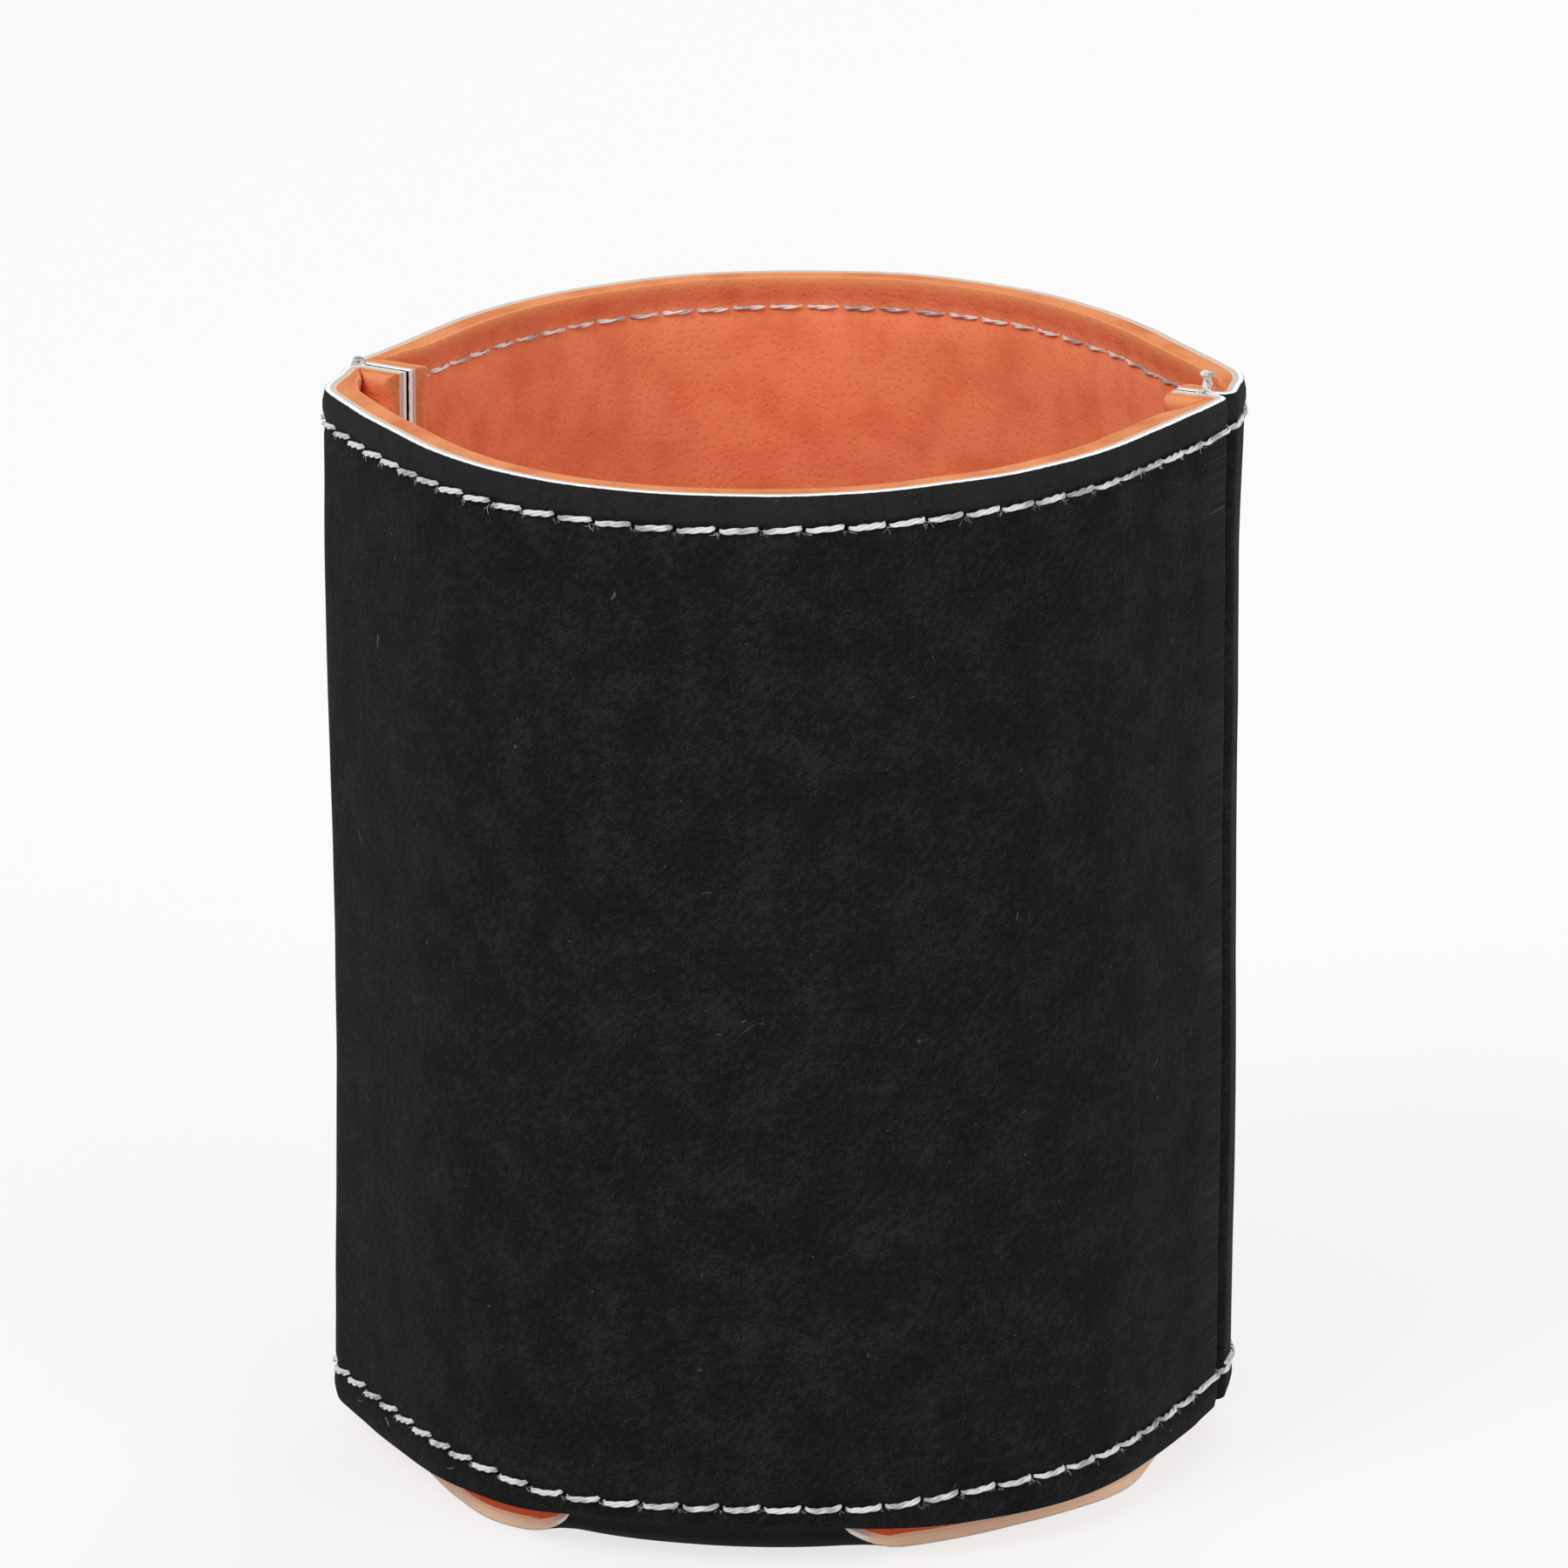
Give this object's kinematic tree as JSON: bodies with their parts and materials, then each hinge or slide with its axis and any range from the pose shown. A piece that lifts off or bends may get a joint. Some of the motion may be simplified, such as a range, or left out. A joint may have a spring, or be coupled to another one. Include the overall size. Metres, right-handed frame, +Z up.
{
  "type": "leatherette beverage holder",
  "caption": "Soft can holder: one sheet of foam-backed leatherette folded under a round base, sewn up both sides, with stitched hems.",
  "frame": {"origin": "middle of the round base's underside, on the surface that it stands on", "axes": "+Z up through the mouth, the front panel faces -Y, the side seams stand near +X and -X"},
  "size_m": [0.0807, 0.0872, 0.0959],
  "materials": {
    "leatherette": "matt black leatherette with a fine soft grain and a pale cut edge",
    "foam": "matt orange foam, fine closed cells",
    "thread": "light grey twisted sewing thread"
  },
  "bodies": {
    "root": {"leatherette_cover": "leatherette", "foam_liner": "foam", "top_stitching_front": "thread", "top_stitching_back": "thread", "bottom_stitching_front": "thread", "bottom_stitching_back": "thread", "top_bobbin_thread_front": "thread", "top_bobbin_thread_back": "thread", "bottom_bobbin_thread_front": "thread", "bottom_bobbin_thread_back": "thread", "right_seam_thread_front": "thread", "right_seam_thread_back": "thread", "left_seam_thread_front": "thread", "left_seam_thread_back": "thread"}
  },
  "joints": []
}
